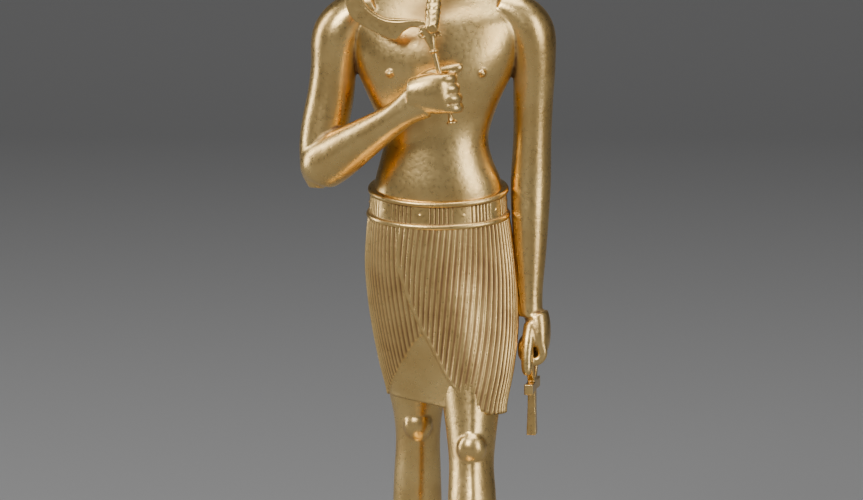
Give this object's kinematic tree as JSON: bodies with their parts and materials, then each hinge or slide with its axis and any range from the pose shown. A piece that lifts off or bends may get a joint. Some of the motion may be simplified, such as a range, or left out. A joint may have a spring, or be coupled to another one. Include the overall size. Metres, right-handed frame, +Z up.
{
  "type": "striding god statuette",
  "caption": "Gold statuette of a striding god: flat-topped crown, plaited beard, pleated kilt, curved scimitar, looped cross and a low base.",
  "frame": {"origin": "bottom centre of the whole statuette, on the underside of the base plate", "axes": "+Z up along the figure's height; the figure faces -Y; its left hand is towards +X"},
  "size_m": [0.0469, 0.07, 0.181],
  "materials": {
    "gold": "polished, worn, with brown patina in the recesses"
  },
  "bodies": {
    "root": {"figure": "gold", "scimitar": "gold", "ankh": "gold", "base": "gold"}
  },
  "joints": []
}
